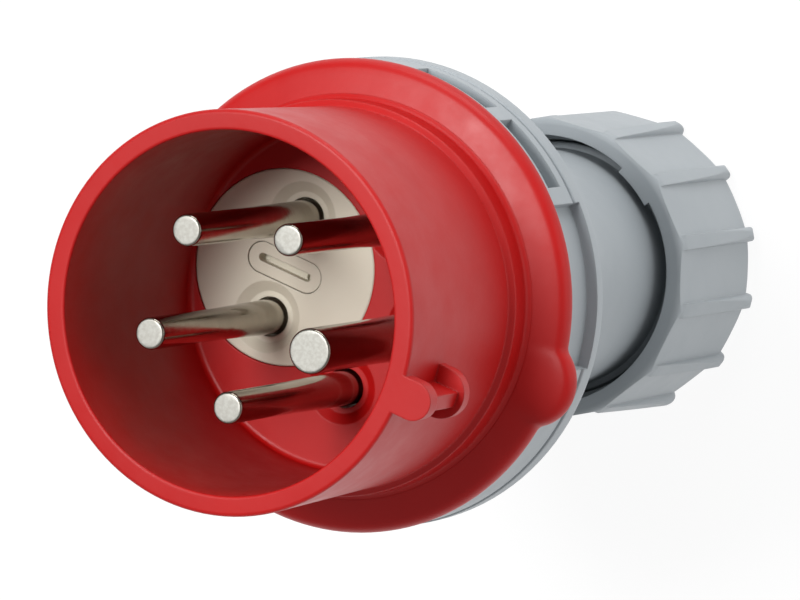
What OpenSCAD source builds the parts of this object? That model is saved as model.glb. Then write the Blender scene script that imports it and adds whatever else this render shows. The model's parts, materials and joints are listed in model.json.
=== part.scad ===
// Industrial pin and sleeve plug, five pole, with a rotary phase disc.
// It stands on the back of its gland nut, mouth up.  The plug axis is +Z
// and the earth pin, key and flange ear lie towards -Y.

/* [Sleeve] */
// Outer radius of the sleeve at its mouth
mouth_r = 31.0; // [30:0.1:32]
// Inner radius of the sleeve
sleeve_ri = 27.85; // [27.5:0.05:28.2]
// Outer radius of the sleeve just in front of its collar
waist_r = 30.25; // [29.8:0.05:30.6]
// Radius of the collar between sleeve and flange
collar_r = 31.3; // [31:0.1:32]
// Depth of the sleeve, from the mouth to its floor
sleeve_depth = 42.9; // [42:0.1:44]
// Radius of the flange
flange_r = 37.65; // [37:0.05:38]
// Radius of the ear on the flange
ear_r = 7.45; // [6.5:0.05:8]
// Distance of the ear's centre from the plug axis
ear_off = 33.35; // [32:0.05:35]

/* [Contacts] */
// Radius of the circle the five contacts stand on
pin_circle_r = 14.6; // [14.4:0.05:14.8]
// Radius of a phase or neutral pin
pin_r = 2.5; // [2.4:0.05:2.6]
// Radius of a phase pin at its root
pin_root_r = 2.8; // [2.6:0.05:2.9]
// Radius of the earth pin
earth_r = 3.5; // [3.4:0.05:3.6]
// Radius of the earth pin at its root
earth_root_r = 3.75; // [3.6:0.05:3.9]
// How far the phase tips stand behind the mouth
tip_depth = 2.0; // [1.5:0.1:4]
// How far the earth tip stands behind the mouth
earth_tip_depth = 0.6; // [0.3:0.1:2]
// Radius of the conductor hole in a phase terminal
wire_r = 1.9; // [1.6:0.1:2.1]

/* [Phase disc] */
// Radius of the rotary phase disc
disc_r = 15.72; // [15.5:0.02:15.74]
// Radius of the opening that the disc turns in
disc_opening_r = 15.8; // [15.78:0.01:15.85]
// Half the distance between the end circles of the latch key
key_half = 4.2; // [4:0.1:4.4]
// Radius of the ends of the latch key
key_r = 2.45; // [2.3:0.05:2.5]

/* [Rear housing] */
// Outer radius of the bayonet ring
ring_r = 37.4; // [37:0.05:37.6]
// Radius of the ring's rear lip
lip_r = 37.6; // [37.4:0.05:38]
// Radius of the neck in front of the gland nut
neck_r = 20.5; // [20.3:0.1:21]

/* [Gland nut] */
// Radius of the nut across its edges
nut_r = 26.0; // [25.6:0.1:26.2]
// Radius over the grip fins at the back of the nut
fin_tip_r = 27.3; // [27:0.1:28]
// Number of grip fins
fin_count = 14; // [12:1:16]
// Radius of the cable hole in the nut
cable_hole_r = 9.2; // [8.5:0.1:9.5]
// Radius of the hole in the rubber seal
seal_hole_r = 7.5; // [6:0.1:8]

/* [Hidden] */
FN = 96;
// Whole length.  Every depth s below is measured back from the mouth.
H = 152.5;
// Centre of the phase disc, midway between its two pins.
disc_y = pin_circle_r * cos(36);
disc_pin_x = pin_circle_r * sin(36);
// Directions of the contacts, seen into the mouth.
A_E = -90;
A_L1 = -18;
A_L2 = 54;
A_L3 = 126;
A_N = 198;
// Carrier screws.
screw_dirs = [-54, 18, 162, 234];
screw_off = 23;
// Key, ear and bayonet.
lug_dirs = [-65, 115];
twist = 25;
// Depths along the plug.
s_floor = sleeve_depth;
s_floor_back = s_floor + 3.5;
s_flange = 43.2;
s_flange_back = 45.4;
s_ring = 45.6;
s_skirt = 57.4;
s_boss = 49.0;
s_car0 = 49.3;
s_step = 58.5;
s_car1 = 60.0;
s_term = 73.0;
s_tscrew = 67.5;
s_lip = 57.9;
s_neck_end = 139.2;
s_seat = 127.2;
s_nut = 120.5;

// ---- helpers -------------------------------------------------------------
// Solid of revolution from [radius, depth] points.
module rev(p) rotate_extrude($fn = FN) polygon([for (q = p) [q[0], H - q[1]]]);
// Cylinder between two depths.
module cyl(s0, s1, r) translate([0, 0, H - s1]) cylinder(h = s1 - s0, r = r, $fn = FN);
// Cone between two depths.
module cone(s0, r0, s1, r1) translate([0, 0, H - s1]) cylinder(h = s1 - s0, r1 = r1, r2 = r0, $fn = FN);
// Prism between two depths.
module slab(s0, s1) translate([0, 0, H - s1]) linear_extrude(height = s1 - s0) children();
// Part of a ring.
module sector(s0, s1, r0, r1, a0, a1)
    rotate([0, 0, a0]) translate([0, 0, H - s1])
        rotate_extrude(angle = a1 - a0, $fn = FN) translate([r0, 0]) square([r1 - r0, s1 - s0]);
module polar(a, r) translate([r * cos(a), r * sin(a), 0]) children();
module at_disc() translate([0, disc_y, 0]) children();
module disc_pins() for (x = [-disc_pin_x, disc_pin_x]) translate([x, 0, 0]) children();
// Rounded edges of a revolved profile: outer front, outer back, inner front.
function of_edge(r, s, q, n = 5) = [for (i = [0:n]) let (t = 90 * i / n) [r - q + q * sin(t), s + q - q * cos(t)]];
function ob_edge(r, s, q, n = 5) = [for (i = [0:n]) let (t = 90 * i / n) [r - q + q * cos(t), s - q + q * sin(t)]];
function if_edge(r, s, q, n = 5) = [for (i = [0:n]) let (t = 90 * i / n) [r + q - q * cos(t), s + q - q * sin(t)]];
// Arc about [r, s] with half axes u and v; 0 points forward, 90 outward.
function arc(r, s, u, v, a0, a1, n) = [for (i = [0:n]) let (t = a0 + (a1 - a0) * i / n) [r + u * sin(t), s - v * cos(t)]];
// Smooth curve through points.
function curve_at(a, b, c, d, t) = 0.5 * (2 * b + (c - a) * t + (2 * a - 5 * b + 4 * c - d) * t * t + (3 * b - a - 3 * c + d) * t * t * t);
function curve(p, n) = concat([for (i = [0:len(p) - 2]) for (k = [0:n - 1])
    curve_at(p[max(i - 1, 0)], p[i], p[i + 1], p[min(i + 2, len(p) - 1)], k / n)], [p[len(p) - 1]]);
// Rounded slot along Y.
module slot2d(half, r) {
    translate([-r, -half]) square([2 * r, 2 * half]);
    translate([0, half]) circle(r = r, $fn = FN);
    translate([0, -half]) circle(r = r, $fn = FN);
}

// ---- contacts ------------------------------------------------------------
// One turned contact: tip, shaft, shoulder, terminal barrel.
module contact(tip, r, root, rb, rt, bore)
    difference() {
        rev(concat([[0, tip]], of_edge(r, tip, 0.5, 4), [[r, tip + 22],
            [root, 42.5], [root, s_boss + 0.1], [rb, s_boss + 0.1], [rb, s_step - 0.1],
            [rt, s_step - 0.1], [rt, s_term - 0.4], [rt - 0.4, s_term], [0, s_term]]));
        cyl(61, s_term + 1, bore);
        translate([0, 0, H - s_tscrew]) rotate([0, 90, 0]) cylinder(h = rt + 1, r = 1.6, $fn = 32);
    }
module phase_contact() contact(tip_depth, pin_r, pin_root_r, 4.2, 3.85, wire_r);
module earth_contact() contact(earth_tip_depth, earth_r, earth_root_r, 5.2, 4.7, wire_r + 0.3);
// Slotted clamp screw of a terminal, seated in the side of the barrel.
module clamp_screw(rt)
    translate([0, 0, H - s_tscrew]) rotate([0, 90, 0]) difference() {
        union() {
            translate([0, 0, 0.6]) cylinder(h = rt, r = 1.5, $fn = 32);
            translate([0, 0, rt + 0.3]) cylinder(h = 1.5, r = 2.3, $fn = 32);
        }
        translate([-3, -0.3, rt + 1.0]) cube([6, 0.6, 2]);
    }
module place_pin(a) polar(a, pin_circle_r) rotate([0, 0, a]) children();
module place_disc_pin(side) at_disc() translate([side * disc_pin_x, 0, 0])
    rotate([0, 0, side > 0 ? 0 : 180]) children();

module pin_l1() color([0.80, 0.79, 0.75]) place_pin(A_L1) phase_contact();
module pin_n() color([0.80, 0.79, 0.75]) place_pin(A_N) phase_contact();
module pin_earth() color([0.80, 0.79, 0.75]) place_pin(A_E) earth_contact();
module pin_l2() color([0.80, 0.79, 0.75]) place_disc_pin(1) phase_contact();
module pin_l3() color([0.80, 0.79, 0.75]) place_disc_pin(-1) phase_contact();
module screw_l1() color([0.72, 0.73, 0.75]) place_pin(A_L1) clamp_screw(3.85);
module screw_n() color([0.72, 0.73, 0.75]) place_pin(A_N) clamp_screw(3.85);
module screw_earth() color([0.72, 0.73, 0.75]) place_pin(A_E) clamp_screw(4.7);
module screw_l2() color([0.72, 0.73, 0.75]) place_disc_pin(1) clamp_screw(3.85);
module screw_l3() color([0.72, 0.73, 0.75]) place_disc_pin(-1) clamp_screw(3.85);

// ---- front shroud --------------------------------------------------------
// Clearance hole and dished recess around one contact.
module contact_hole(r, rd, s_end) {
    cyl(s_floor - 1, s_end, r);
    cone(s_floor - 0.01, rd, s_floor + 1.2, r + 0.9);
}
// Key on the outside of the sleeve: two lobed plates joined by a rib.
module key_nub() rotate([0, 0, A_E]) {
    slab(0, 2.6) {
        translate([28.6, -3]) square([4.65, 6]);
        translate([33.25, 0]) circle(r = 3, $fn = 48);
    }
    slab(12.2, 14.2) {
        translate([28.6, -4]) square([3.65, 8]);
        translate([32.25, 0]) circle(r = 4, $fn = 48);
    }
    slab(2, 13) translate([28.6, -1.2]) square([6.5, 2.4]);
}
module flange_ear() rotate([0, 0, A_E]) translate([ear_off, 0, 0])
    rev(concat([[0, 43.15]], arc(ear_r - 2.05, 45.1, 2.05, 1.9, 4, 90, 8), [[ear_r, s_flange_back], [0, s_flange_back]]));
module front_shroud() color([0.80, 0.13, 0.13]) difference() {
    union() {
        rev(concat(if_edge(sleeve_ri, 0, 0.4), of_edge(mouth_r, 0, 0.65),
            [[waist_r, 37.1]], arc(waist_r + 0.35, 37.1, -0.35, -0.35, 90, 30, 3),
            [[collar_r - 0.25, 37.75]], arc(collar_r - 0.25, 38.0, 0.25, 0.25, 30, 90, 3),
            arc(collar_r + 1.05, 41.2, -1.05, -1.0, 90, 14, 5),
            arc(35.6, 45.1, flange_r - 35.6, 2.1, 14, 90, 9),
            [[flange_r, s_flange_back], [32.2, s_flange_back], [32.2, s_skirt], [29.2, s_skirt],
            [29.2, s_floor_back], [0, s_floor_back], [0, s_floor]],
            arc(sleeve_ri - 0.9, s_floor - 0.9, 0.9, -0.9, 0, 90, 4)));
        key_nub();
        flange_ear();
        // Seats for the contact shoulders.
        for (a = [A_L1, A_N]) polar(a, pin_circle_r) cyl(s_floor_back - 0.5, s_boss, 4.6);
        polar(A_E, pin_circle_r) cyl(s_floor_back - 0.5, s_boss, 6.2);
        // Screw bosses.
        for (a = screw_dirs) polar(a, screw_off) cyl(s_floor_back - 0.5, s_boss + 0.3, 3.4);
        // Bayonet lugs.
        for (a = lug_dirs) sector(52.0, 54.6, 31.5, 33.6, a - 8, a + 8);
    }
    for (a = [A_L1, A_N]) polar(a, pin_circle_r) contact_hole(3.2, 5.8, s_boss + 1);
    polar(A_E, pin_circle_r) contact_hole(4.2, 6.8, s_boss + 1);
    at_disc() cyl(s_floor - 1, s_floor_back + 0.5, disc_opening_r);
    for (a = screw_dirs) polar(a, screw_off) cyl(s_floor_back - 1.4, s_boss + 1, 1.45);
}

// ---- contact carrier behind the sleeve floor ------------------------------
module contact_carrier() color([0.22, 0.23, 0.25]) difference() {
    cyl(s_car0, s_car1, 28.9);
    at_disc() cyl(s_car0 - 1, s_car1 + 1, 14.7);
    for (a = [A_L1, A_N]) polar(a, pin_circle_r) {
        cyl(s_car0 - 1, s_step, 4.3);
        cyl(s_step - 0.5, s_car1 + 1, 3.95);
    }
    polar(A_E, pin_circle_r) {
        cyl(s_car0 - 1, s_step, 5.3);
        cyl(s_step - 0.5, s_car1 + 1, 4.8);
    }
    for (a = screw_dirs) polar(a, screw_off) {
        cyl(s_car0 - 1, s_car1 + 1, 1.7);
        cyl(57.5, s_car1 + 1, 3.1);
    }
}
// Pan-head screws that hold the carrier.
module carrier_screws() color([0.72, 0.73, 0.75])
    for (a = screw_dirs) polar(a, screw_off) difference() {
        union() {
            cyl(45.4, 57.6, 1.4);
            cyl(57.5, 59.4, 2.8);
        }
        for (t = [0, 90]) rotate([0, 0, t]) translate([-1.6, -0.3, H - 60]) cube([3.2, 0.6, 1.4]);
    }

// ---- phase disc ----------------------------------------------------------
module phase_disc() color([0.86, 0.80, 0.70]) at_disc() difference() {
    union() {
        rev([[0, s_floor + 0.1], [disc_r - 0.2, s_floor + 0.1], [disc_r, s_floor + 0.3],
            [disc_r, 46.7], [16.4, 46.7], [16.4, 48.9], [14.4, 48.9], [14.4, s_car1], [0, s_car1]]);
    }
    disc_pins() {
        cyl(s_floor - 1, 46, 3.2);
        cone(s_floor + 0.09, 5.8, s_floor + 1.3, 4.1);
        cyl(s_floor, s_boss + 0.5, 2.95);
        cyl(s_boss + 0.1, s_car1 + 1, 4.3);
    }
    slab(s_floor - 1, 50.2) slot2d(key_half, key_r + 0.12);
    slab(50.0, s_car1 + 1) slot2d(key_half, 3.3);
    for (y = [-11.2, 11.2]) translate([0, y, 0]) cyl(53, s_car1 + 1, 1.15);
}
// Sprung latch key with a screwdriver groove.
module disc_latch() color([0.88, 0.82, 0.72]) at_disc() difference() {
    union() {
        slab(s_floor + 0.25, 50.4) slot2d(key_half, key_r);
        slab(50.35, 52.4) slot2d(key_half, 3.1);
        cyl(52, 54.2, 1.3);
    }
    slab(s_floor - 1, s_floor + 1.75) slot2d(4.2, 0.65);
    for (y = [-4.2, 4.2]) translate([0, y, 0]) cyl(s_floor - 1, s_floor + 2.4, 0.65);
}
// Coil spring behind the latch key.
spring_turns = 5;
spring_rm = 2.05;
spring_rw = 0.28;
spring_s0 = 52.75;
spring_s1 = 59.65;
spring_n = spring_turns * 14;
function spring_p(i) = let (a = 360 * spring_turns * i / spring_n)
    [spring_rm * cos(a), spring_rm * sin(a), H - spring_s0 - (spring_s1 - spring_s0) * i / spring_n];
module latch_spring() color([0.70, 0.71, 0.73]) at_disc()
    polyhedron(
        points = [for (i = [0:spring_n]) let (a = 360 * spring_turns * i / spring_n, p = spring_p(i))
            for (k = [0:7]) let (b = 45 * k)
                [p[0] + spring_rw * cos(b) * cos(a), p[1] + spring_rw * cos(b) * sin(a), p[2] + spring_rw * sin(b)]],
        faces = concat(
            [[for (k = [0:7]) k]],
            [for (i = [0:spring_n - 1]) for (k = [0:7])
                [i * 8 + k, (i + 1) * 8 + k, (i + 1) * 8 + (k + 1) % 8, i * 8 + (k + 1) % 8]],
            [[for (k = [7:-1:0]) spring_n * 8 + k]]));
// Cover that holds the two disc contacts and the spring.
module disc_cap() color([0.86, 0.80, 0.70]) at_disc() difference() {
    union() {
        cyl(s_car1, 62.3, 14.2);
        cyl(57.6, s_car1 + 0.1, 1.3);
        // Sleeves that press on the contact shoulders.
        disc_pins() cyl(s_step, s_car1 + 0.1, 4.25);
    }
    disc_pins() cyl(s_step - 1, 63, 3.95);
    for (y = [-11.2, 11.2]) translate([0, y, 0]) cyl(s_car1 - 1, 63, 1.35);
}
module disc_cap_screws() color([0.72, 0.73, 0.75]) at_disc()
    for (y = [-11.2, 11.2]) translate([0, y, 0]) difference() {
        union() {
            cyl(54, 62.4, 1.1);
            cyl(62.3, 63.7, 2.2);
        }
        translate([-3, -0.25, H - 64.5]) cube([6, 0.5, 1.5]);
    }

// ---- rear housing --------------------------------------------------------
// Windows and pockets moulded into the bayonet ring, repeated on both sides.
module ring_recesses() for (t = [0, 180]) rotate([0, 0, t]) {
    // Long shallow pocket.
    sector(s_ring - 1, 55.5, 35.8, 39, -85.7, -44.7);
    // Two windows beside it.
    sector(46.6, 51.3, 34.9, 39, -40.2, -19.7);
    sector(46.6, 51.3, 34.9, 39, -14.9, 5.7);
}
// Bayonet slots inside the ring.
module bayonet_slots() for (a = lug_dirs) {
    sector(51.7, 54.9, 32, 34.0, a - 8.6, a + twist + 9.4);
    sector(s_ring - 1, 53, 31.8, 34.2, a + twist - 9.0, a + twist + 8.9);
}
module rear_housing() color([0.66, 0.69, 0.72]) difference() {
    rev(concat([[32.5, s_ring]], of_edge(ring_r, s_ring, 0.25, 3),
        [[ring_r, 53.5], [ring_r - 0.35, 53.7], [ring_r - 0.35, 54.1]], of_edge(lip_r, 54.2, 0.3, 3),
        ob_edge(lip_r, s_lip, 0.35, 4), arc(35.4, s_lip + 0.6, -0.6, 0.6, 0, 60, 3),
        curve([[34.7, 59.0], [33.9, 64], [32.3, 69], [29.9, 74.5], [26.7, 80.5], [23.6, 86.5],
            [21.7, 91.5], [20.9, 96], [neck_r + 0.1, 104]], 4),
        [[neck_r, s_nut + 5.6], [21.5, s_nut + 6.6], [21.5, s_neck_end - 0.8], [20.9, s_neck_end],
        [17.4, s_neck_end], [17.4, s_seat], [14.8, s_seat], [14.8, 124.8],
        [17.9, 121.5], [18.1, 98], [18.9, 93], [21.2, 86.8], [24.3, 80.8], [27.5, 74.6],
        [29.6, 69.6], [30.2, 64.5], [30.2, 60.4], [32.5, 60.4]]));
    ring_recesses();
    bayonet_slots();
}
// Sealing ring between the shroud skirt and the housing.
module housing_seal() color([0.08, 0.08, 0.08]) translate([0, 0, H - 58.9])
    rotate_extrude($fn = FN) translate([30.95, 0]) circle(r = 1.42, $fn = 32);

// ---- cable gland ---------------------------------------------------------
module gland_seal() color([0.07, 0.07, 0.07])
    rev([[seal_hole_r + 1.2, s_seat + 0.1], [17.2, s_seat + 0.1], [17.2, 138.3], [seal_hole_r + 1.2, 138.3],
        [seal_hole_r, 136.8], [seal_hole_r, 128.8]]);
module gland_washer() color([0.60, 0.63, 0.66]) difference() {
    cyl(138.5, 140.5, 17.1);
    cyl(138, 141, 9.6);
}
// Ring with fingers that close on the cable.
module clamp_cage() color([0.78, 0.79, 0.80]) difference() {
    union() {
        cyl(140.6, 143.2, 16.9);
        cyl(143, 148.0, 13.4);
    }
    cyl(140, 149, 9.4);
    for (a = [0:45:359]) rotate([0, 0, a]) translate([8.5, -0.75, H - 149]) cube([6, 1.5, 5.8]);
}
// Grip fins: ribs with round tops that rise towards the back.
module fins() for (i = [0:fin_count - 1]) rotate([0, 0, -57.3 + i * 360 / fin_count])
    slab(s_nut + 0.6, H) {
        translate([22, -1.25]) square([fin_tip_r - 23.25, 2.5]);
        translate([fin_tip_r - 1.25, 0]) circle(r = 1.25, $fn = 24);
    }
module gland_nut() color([0.66, 0.69, 0.72]) difference() {
    union() {
        intersection() {
            slab(s_nut, H) polygon([for (i = [0:fin_count - 1]) let (a = -57.3 + i * 360 / fin_count)
                [nut_r * cos(a), nut_r * sin(a)]]);
            rev(concat([[0, s_nut]], arc(nut_r - 1.3, s_nut + 1.6, 1.3, 1.6, 0, 90, 6),
                arc(nut_r - 2.0, H - 2.4, 2.0, 2.4, 90, 180, 6), [[0, H]]));
        }
        intersection() {
            fins();
            rev(concat([[20, s_nut + 0.6], [nut_r - 0.4, s_nut + 0.6], [nut_r + 0.1, s_nut + 2.5],
                [fin_tip_r - 0.25, H - 6]], arc(fin_tip_r - 2, H - 2.2, 2, 2.2, 90, 180, 6), [[20, H]]));
        }
    }
    difference() {
        union() {
            cyl(s_nut - 1, s_nut + 6.5, 22.9);
            cyl(s_nut + 6, 141, 21.9);
            cyl(140.5, 148.4, 18.4);
            cyl(148, H + 1, cable_hole_r);
        }
        // Stop tab on the front rim.
        sector(s_nut, s_nut + 1.6, 21.95, 24, -37.5, -18.5);
    }
    cone(H - 0.4, cable_hole_r, H + 0.01, cable_hole_r + 0.4);
}

front_shroud();
contact_carrier();
carrier_screws();
pin_l1();
pin_n();
pin_earth();
screw_l1();
screw_n();
screw_earth();
phase_disc();
pin_l2();
pin_l3();
screw_l2();
screw_l3();
disc_cap();
disc_cap_screws();
disc_latch();
latch_spring();
rear_housing();
housing_seal();
gland_seal();
gland_washer();
clamp_cage();
gland_nut();
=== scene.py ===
import bpy
import bmesh
import json
import math
from mathutils import Matrix, Vector


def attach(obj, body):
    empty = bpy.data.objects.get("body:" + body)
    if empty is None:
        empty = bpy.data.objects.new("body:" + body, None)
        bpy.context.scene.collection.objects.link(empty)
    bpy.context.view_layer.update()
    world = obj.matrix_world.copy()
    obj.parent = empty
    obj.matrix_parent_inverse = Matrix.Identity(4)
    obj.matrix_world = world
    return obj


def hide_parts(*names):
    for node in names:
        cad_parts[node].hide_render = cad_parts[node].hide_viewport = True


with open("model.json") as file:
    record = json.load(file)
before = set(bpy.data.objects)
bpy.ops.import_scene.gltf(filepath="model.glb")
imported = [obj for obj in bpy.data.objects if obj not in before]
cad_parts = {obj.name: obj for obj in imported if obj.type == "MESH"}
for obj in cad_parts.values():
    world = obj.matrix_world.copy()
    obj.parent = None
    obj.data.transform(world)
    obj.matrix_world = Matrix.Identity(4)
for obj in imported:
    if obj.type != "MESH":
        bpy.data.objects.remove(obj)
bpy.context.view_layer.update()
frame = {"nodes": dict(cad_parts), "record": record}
NODES = frame["nodes"]
BODY_OF = {n: b for b, ns in frame["record"]["behaviour"]["bodies"].items() for n in ns}
SLOT_OF = {s["node"]: s["material_slot"] for s in frame["record"]["subparts"]}
H = 0.1525
scene = bpy.context.scene

# ---------------------------------------------------------------- camera
CAM_POS = Vector((0.205749, -0.350771, 0.965624))
CAM_R = Vector((0.3348927, -0.8449879, -0.416944))
CAM_U = Vector((0.9174791, 0.393232, -0.0600062))
CAM_B = Vector((0.2146602, -0.3624418, 0.9069492))
cam_data = bpy.data.cameras.new("camera")
cam = bpy.data.objects.new("camera", cam_data)
scene.collection.objects.link(cam)
cam_data.sensor_fit = "HORIZONTAL"
cam_data.sensor_width = 36.0
cam_data.lens = 270.0
cam_data.clip_start = 0.05
cam_data.clip_end = 20.0
m = Matrix((CAM_R, CAM_U, CAM_B)).transposed().to_4x4()
m.translation = CAM_POS
cam.matrix_world = m
scene.camera = cam
scene.view_settings.view_transform = "Standard"
scene.view_settings.look = "None"
scene.view_settings.exposure = 0.0
scene.view_settings.gamma = 1.0


# ---------------------------------------------------------------- materials
class Mat:
    """A node material with a Principled shader and a few helpers."""

    def __init__(self, name, colour, rough, metallic=0.0, spec=0.5):
        self.m = bpy.data.materials.new(name)
        self.m.use_nodes = True
        self.t = self.m.node_tree
        self.t.nodes.clear()
        self.out = self.t.nodes.new("ShaderNodeOutputMaterial")
        self.b = self.t.nodes.new("ShaderNodeBsdfPrincipled")
        self.link(self.b.outputs["BSDF"], self.out.inputs["Surface"])
        self.b.inputs["Base Color"].default_value = (*colour, 1)
        self.b.inputs["Roughness"].default_value = rough
        self.b.inputs["Metallic"].default_value = metallic
        self.b.inputs["Specular IOR Level"].default_value = spec
        self.m.diffuse_color = (*colour, 1)
        self.tc = self.t.nodes.new("ShaderNodeTexCoord")

    def link(self, a, b):
        self.t.links.new(a, b)

    def noise(self, scale, detail=3.0, rough=0.5, stretch=None, w=None):
        n = self.t.nodes.new("ShaderNodeTexNoise")
        n.inputs["Scale"].default_value = scale
        n.inputs["Detail"].default_value = detail
        n.inputs["Roughness"].default_value = rough
        if stretch:
            mp = self.t.nodes.new("ShaderNodeMapping")
            mp.inputs["Scale"].default_value = stretch
            self.link(self.tc.outputs["Object"], mp.inputs["Vector"])
            self.link(mp.outputs["Vector"], n.inputs["Vector"])
        else:
            self.link(self.tc.outputs["Object"], n.inputs["Vector"])
        return n.outputs["Fac"]

    def ramp(self, fac, stops):
        r = self.t.nodes.new("ShaderNodeValToRGB")
        el = r.color_ramp.elements
        while len(el) < len(stops):
            el.new(0.5)
        for e, (p, c) in zip(el, stops):
            e.position = p
            e.color = (*c, 1) if len(c) == 3 else c
        self.link(fac, r.inputs["Fac"])
        return r.outputs["Color"]

    def fit(self, fac, a, b, c, d):
        r = self.t.nodes.new("ShaderNodeMapRange")
        for k, v in zip(("From Min", "From Max", "To Min", "To Max"), (a, b, c, d)):
            r.inputs[k].default_value = v
        self.link(fac, r.inputs["Value"])
        return r.outputs["Result"]

    def math(self, op, a, b=None):
        n = self.t.nodes.new("ShaderNodeMath")
        n.operation = op
        for i, v in enumerate((a, b)):
            if v is None:
                continue
            if isinstance(v, (int, float)):
                n.inputs[i].default_value = v
            else:
                self.link(v, n.inputs[i])
        return n.outputs[0]

    def mix(self, fac, a, b):
        n = self.t.nodes.new("ShaderNodeMix")
        n.data_type = "RGBA"
        self.link(fac, n.inputs[0])
        for i, v in ((6, a), (7, b)):
            if isinstance(v, tuple):
                n.inputs[i].default_value = (*v, 1)
            else:
                self.link(v, n.inputs[i])
        return n.outputs[2]

    def colour(self, out):
        self.link(out, self.b.inputs["Base Color"])

    def rough(self, out):
        self.link(out, self.b.inputs["Roughness"])

    def edges(self, radius):
        """1 near edges, 0 on flat or gently curved faces, and the rounded normal."""
        bv = self.t.nodes.new("ShaderNodeBevel")
        bv.samples = 4
        bv.inputs["Radius"].default_value = radius
        g = self.t.nodes.new("ShaderNodeNewGeometry")
        d = self.t.nodes.new("ShaderNodeVectorMath")
        d.operation = "DOT_PRODUCT"
        self.link(bv.outputs["Normal"], d.inputs[0])
        self.link(g.outputs["Normal"], d.inputs[1])
        return self.fit(d.outputs["Value"], 0.995, 0.80, 0.0, 1.0), bv.outputs["Normal"]

    def bump(self, heights, normal=None):
        """heights: list of (output, distance in metres, strength)."""
        last = normal
        for h, dist, s in heights:
            n = self.t.nodes.new("ShaderNodeBump")
            n.inputs["Strength"].default_value = s
            n.inputs["Distance"].default_value = dist
            self.link(h, n.inputs["Height"])
            if last is not None:
                self.link(last, n.inputs["Normal"])
            last = n.outputs["Normal"]
        if last is not None:
            self.link(last, self.b.inputs["Normal"])


def plastic(name, dark, light, speck_and_edge_highlight, rough, grain=0.00003, spec=0.5, radius=0.00035, coat=0.0):
    p = Mat(name, light, rough, spec=spec)
    broad = p.noise(38.0, 3.0, 0.55)
    fine = p.noise(900.0, 2.0, 0.6)
    base = p.mix(p.fit(broad, 0.3, 0.7, 0.0, 1.0), dark, light)
    speck = p.fit(p.noise(420.0, 4.0, 0.7), 0.70, 0.78, 0.0, 0.30)
    # random lighter specks in the moulding itself
    base = p.mix(speck, base, speck_and_edge_highlight)
    mask, normal = p.edges(radius)
    # painted highlight: edges and rounded corners are lightened towards the same lighter colour, in place of light
    # catching the edges
    base = p.mix(p.math("MULTIPLY", mask, 0.45), base, speck_and_edge_highlight)
    p.colour(base)
    p.rough(p.fit(p.noise(160.0, 4.0, 0.6), 0.3, 0.7, rough - 0.05, rough + 0.06))
    p.bump([(fine, grain, 0.35), (p.noise(70.0, 2.0, 0.5), 0.00012, 0.10)], normal)
    p.b.inputs["Coat Weight"].default_value = coat
    p.b.inputs["Coat Roughness"].default_value = 0.28
    return p.m


def metal(name, colour, rough, line_scale, tip=True):
    p = Mat(name, colour, rough, metallic=1.0)
    # turning marks run round the pin, so they vary along Z only
    lines = p.noise(1.0, 3.0, 0.7, stretch=(20.0, 20.0, line_scale))
    stain = p.noise(140.0, 4.0, 0.6)
    c2 = tuple(v * 0.80 for v in colour)
    base = p.mix(p.fit(stain, 0.35, 0.7, 0.0, 1.0), colour, c2)
    r = p.fit(lines, 0.3, 0.7, rough - 0.05, rough + 0.08)
    if tip:
        g = p.t.nodes.new("ShaderNodeNewGeometry")
        sep = p.t.nodes.new("ShaderNodeSeparateXYZ")
        p.link(g.outputs["Normal"], sep.inputs[0])
        face = p.fit(sep.outputs["Z"], 0.90, 0.97, 0.0, 1.0)
        mottle = p.mix(p.fit(p.noise(1600.0, 3.0, 0.65), 0.40, 0.62, 0.0, 1.0), (0.39, 0.38, 0.345), (0.45, 0.445, 0.41))
        base = p.mix(face, base, mottle)
        mixr = p.t.nodes.new("ShaderNodeMix")
        p.link(face, mixr.inputs[0])
        p.link(r, mixr.inputs[2])
        mixr.inputs[3].default_value = 0.52
        r = mixr.outputs[0]
    p.colour(base)
    p.rough(r)
    mask, normal = p.edges(0.00018)
    p.bump([(lines, 0.00002, 0.30), (p.noise(1500.0, 2.0, 0.5), 0.00001, 0.25)], normal)
    return p.m


def rubber(name):
    p = Mat(name, (0.02, 0.02, 0.02), 0.6, spec=0.35)
    p.colour(p.mix(p.fit(p.noise(60.0), 0.3, 0.7, 0.0, 1.0), (0.014, 0.014, 0.015), (0.032, 0.032, 0.033)))
    p.rough(p.fit(p.noise(300.0), 0.3, 0.7, 0.50, 0.72))
    mask, normal = p.edges(0.0003)
    p.bump([(p.noise(1100.0, 3.0, 0.6), 0.00003, 0.5)], normal)
    return p.m


MATS = {
    "red_plastic": plastic("red_plastic", (0.42, 0.0035, 0.0036), (0.47, 0.0052, 0.0048), (0.53, 0.028, 0.023), 0.42, spec=0.34),
    "grey_plastic": plastic("grey_plastic", (0.34, 0.373, 0.397), (0.385, 0.418, 0.44), (0.48, 0.51, 0.53), 0.46, spec=0.34),
    "beige_plastic": plastic("beige_plastic", (0.62, 0.575, 0.455), (0.67, 0.635, 0.52), (0.71, 0.685, 0.59), 0.48, grain=0.00004),
    "dark_plastic": plastic("dark_plastic", (0.030, 0.031, 0.036), (0.045, 0.046, 0.052), (0.10, 0.10, 0.11), 0.5),
    "washer_plastic": plastic("washer_plastic", (0.30, 0.33, 0.36), (0.36, 0.39, 0.42), (0.5, 0.53, 0.55), 0.5),
    "clamp_plastic": plastic("clamp_plastic", (0.52, 0.54, 0.54), (0.60, 0.62, 0.62), (0.72, 0.73, 0.73), 0.48),
    "nickel_pin": metal("nickel_pin", (0.36, 0.325, 0.275), 0.13, 2200.0),
    "zinc_screw": metal("zinc_screw", (0.60, 0.61, 0.62), 0.28, 1500.0, tip=False),
    "spring_steel": metal("spring_steel", (0.50, 0.51, 0.52), 0.30, 900.0, tip=False),
    "black_rubber": rubber("black_rubber"),
}


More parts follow.
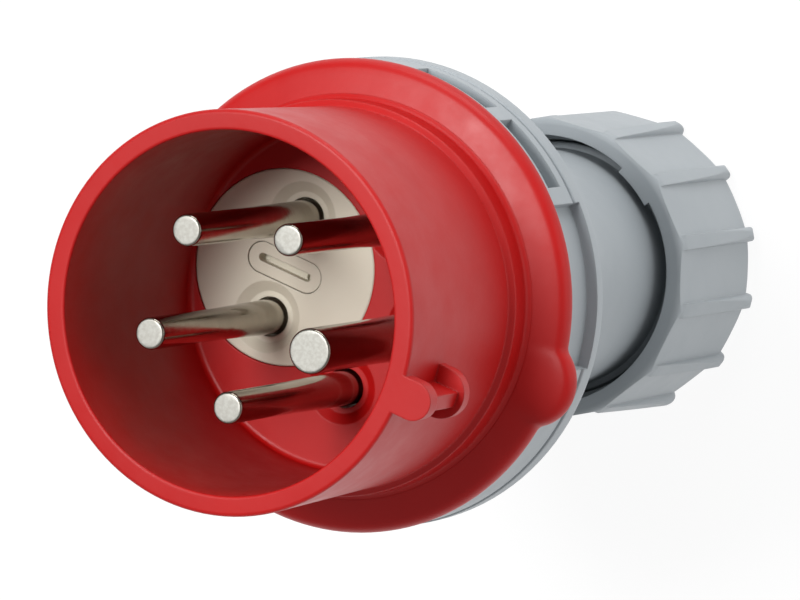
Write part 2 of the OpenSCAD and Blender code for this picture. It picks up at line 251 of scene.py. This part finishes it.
# ---------------------------------------------------------------- CAD nodes, shaded smooth
def polished(node, angle=24.0):
    """A copy of a CAD node with its vertices joined and its gentle edges smooth."""
    src = NODES[node]
    me = src.data.copy()
    me.name = node + "_skin"
    bm = bmesh.new()
    bm.from_mesh(me)
    bmesh.ops.remove_doubles(bm, verts=bm.verts, dist=1.5e-6)
    bmesh.ops.dissolve_degenerate(bm, edges=bm.edges, dist=1e-7)
    bmesh.ops.recalc_face_normals(bm, faces=bm.faces)
    for f in bm.faces:
        f.smooth = True
    bm.to_mesh(me)
    bm.free()
    for key in ("custom_normal",):
        if key in me.attributes:
            me.attributes.remove(me.attributes[key])
    me.set_sharp_from_angle(angle=math.radians(angle))
    o = bpy.data.objects.new(node + "_skin", me)
    scene.collection.objects.link(o)
    me.materials.clear()
    me.materials.append(MATS[SLOT_OF[node]])
    wn = o.modifiers.new("weighted", "WEIGHTED_NORMAL")
    wn.mode = "FACE_AREA"
    wn.weight = 80
    wn.keep_sharp = True
    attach(o, BODY_OF[node])
    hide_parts(node)
    return o


SKINS = {}
for name in sorted(NODES):
    SKINS[name] = polished(name)


# ---------------------------------------------------------------- detail pieces
def new_piece(name, verts, faces, slot, body, smooth=True, angle=35.0):
    me = bpy.data.meshes.new(name)
    me.from_pydata(verts, [], faces)
    me.validate()
    if smooth:
        for f in me.polygons:
            f.use_smooth = True
        me.set_sharp_from_angle(angle=math.radians(angle))
    me.materials.append(MATS[slot])
    o = bpy.data.objects.new(name, me)
    scene.collection.objects.link(o)
    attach(o, body)
    return o


def thread(name, r_root, r_crest, z0, z1, pitch, phase, slot, body, half=0.00105, crest=0.00035):
    """Right-handed helical ridge whose ends run out into the root."""
    verts, faces = [], []
    steps = int((z1 - z0) / pitch * 60)
    for i in range(steps + 1):
        t = i / steps
        z = z0 + (z1 - z0) * t
        a = 2 * math.pi * (z - z0) / pitch + phase
        fade = min(1.0, min(t, 1 - t) * steps / 24.0)
        r = r_root + (r_crest - r_root) * fade
        ring = ((r_root, -half), (r, -crest), (r, crest), (r_root, half))
        for rr, dz in ring:
            verts.append((rr * math.cos(a), rr * math.sin(a), z + dz))
    for i in range(steps):
        b = i * 4
        for k in range(3):
            faces.append((b + k, b + k + 1, b + 4 + k + 1, b + 4 + k) if r_crest > r_root else (b + k, b + 4 + k, b + 4 + k + 1, b + k + 1))
        faces.append((b + 3, b, b + 4, b + 7) if r_crest > r_root else (b + 3, b + 7, b + 4, b))
    faces.append((0, 3, 2, 1))
    e = steps * 4
    faces.append((e, e + 1, e + 2, e + 3))
    return new_piece(name, verts, faces, slot, body, angle=25.0)


thread("neck_thread", 0.02145, 0.02182, H - 0.1372, H - 0.1284, 0.003, 0.0, "grey_plastic", "housing")
thread("nut_thread", 0.02193, 0.02160, H - 0.1398, H - 0.1282, 0.003, 2 * math.pi * ((H - 0.1398) - (H - 0.1372)) / 0.003 + math.pi, "grey_plastic", "nut")


def flange():
    """Flange with its ear as one smooth moulded surface, in place of the same faces of the CAD skin."""
    skin = SKINS["front_shroud"]
    bm = bmesh.new()
    bm.from_mesh(skin.data)
    gone = []
    for f in bm.faces:
        if all(math.hypot(v.co.x, v.co.y) > 0.03205 and 0.04195 < H - v.co.z < 0.04541 for v in f.verts):
            gone.append(f)
    bmesh.ops.delete(bm, geom=gone, context="FACES")
    bm.to_mesh(skin.data)
    bm.free()
    skin.data.set_sharp_from_angle(angle=math.radians(24))
    R0, E, q, F = 0.03765, 0.03335, 0.00745, 0.0020
    fx = ((R0 + F) ** 2 - (q + F) ** 2 + E * E) / (2 * E)
    fy = math.sqrt((R0 + F) ** 2 - fx * fx)
    t1 = math.atan2(fy, fx)
    t2 = math.atan2(q * fy / (q + F), E + q * (fx - E) / (q + F))

    def reach(t):
        t = abs(t)
        if t <= t2:
            return E * math.cos(t) + math.sqrt(q * q - (E * math.sin(t)) ** 2)
        if t < t1:
            c, x = fx * math.cos(t) + fy * math.sin(t), fx * math.sin(t) - fy * math.cos(t)
            return c - math.sqrt(max(F * F - x * x, 0))
        return R0

    angles = [i * 0.35 for i in range(-44, 45)] + [15.4 + (i + 1) * (329.2 / 130) for i in range(129)]
    verts, faces = [], []
    rows = None
    for deg in angles:
        a = math.radians(deg)
        R = reach(a) if abs(deg) < 16 else R0
        prof = [(0.03185, 0.04260), (0.03209, 0.042168)]
        cr, cs = R - 0.00205, 0.0451
        start = (cr + 0.00205 * math.sin(math.radians(14)), cs - 0.0021 * math.cos(math.radians(14)))
        for k in (0.25, 0.5, 0.75):
            prof.append((prof[1][0] + (start[0] - prof[1][0]) * k, prof[1][1] + (start[1] - prof[1][1]) * k))
        for i in range(11):
            g = math.radians(14 + 76 * i / 10)
            prof.append((cr + 0.00205 * math.sin(g), cs - 0.0021 * math.cos(g)))
        prof += [(R, 0.04532), (R - 0.00008, 0.0454), (0.0322, 0.0454)]
        rows = len(prof)
        b = a - math.pi / 2
        verts += [(r * math.cos(b), r * math.sin(b), H - s) for r, s in prof]
    n = len(angles)
    for i in range(n):
        j = (i + 1) % n
        for k in range(rows - 1):
            faces.append((i * rows + k, i * rows + k + 1, j * rows + k + 1, j * rows + k))
    return new_piece("flange_rim", verts, faces, "red_plastic", "front", angle=40.0)


flange()

# ---------------------------------------------------------------- floor and light
def floor_mat():
    p = Mat("studio_floor", (0.36, 0.36, 0.36), 0.8, spec=0.05)
    n = p.noise(3.0, 2.0, 0.5)
    p.colour(p.mix(n, (0.13, 0.13, 0.13), (0.15, 0.15, 0.15)))
    p.b.inputs["Emission Color"].default_value = (1, 1, 1, 1)
    p.b.inputs["Emission Strength"].default_value = 0.90
    return p.m


me = bpy.data.meshes.new("floor")
S = 3.0
me.from_pydata([(-S, -S, -0.0004), (S, -S, -0.0004), (S, S, -0.0004), (-S, S, -0.0004)], [], [(0, 1, 2, 3)])
me.materials.append(floor_mat())
floor = bpy.data.objects.new("floor", me)
scene.collection.objects.link(floor)

world = bpy.data.worlds.new("studio")
scene.world = world
world.use_nodes = True
bg = world.node_tree.nodes["Background"]
bg.inputs["Color"].default_value = (1.0, 1.0, 1.0, 1)
bg.inputs["Strength"].default_value = 0.36

AIM = Vector((0.0, 0.0, 0.10))


def area(name, right, up, back, dist, size, power, colour=(1, 1, 1)):
    """A soft lamp placed in the photograph's directions: right, up and towards the viewer."""
    d = (CAM_R * right + CAM_U * up + CAM_B * back).normalized()
    li = bpy.data.lights.new(name, "AREA")
    li.shape = "SQUARE"
    li.size = size
    li.energy = power
    li.color = colour
    o = bpy.data.objects.new(name, li)
    scene.collection.objects.link(o)
    o.location = AIM + d * dist
    o.rotation_mode = "QUATERNION"
    o.rotation_quaternion = (-d).to_track_quat("-Z", "Y")
    return o


area("key", -0.52, 0.20, 0.87, 1.25, 0.40, 13.2)
area("top", 0.10, 1.00, 0.30, 1.20, 0.70, 6.2)
area("fill", 0.90, 0.10, 0.45, 1.40, 0.90, 2.8)
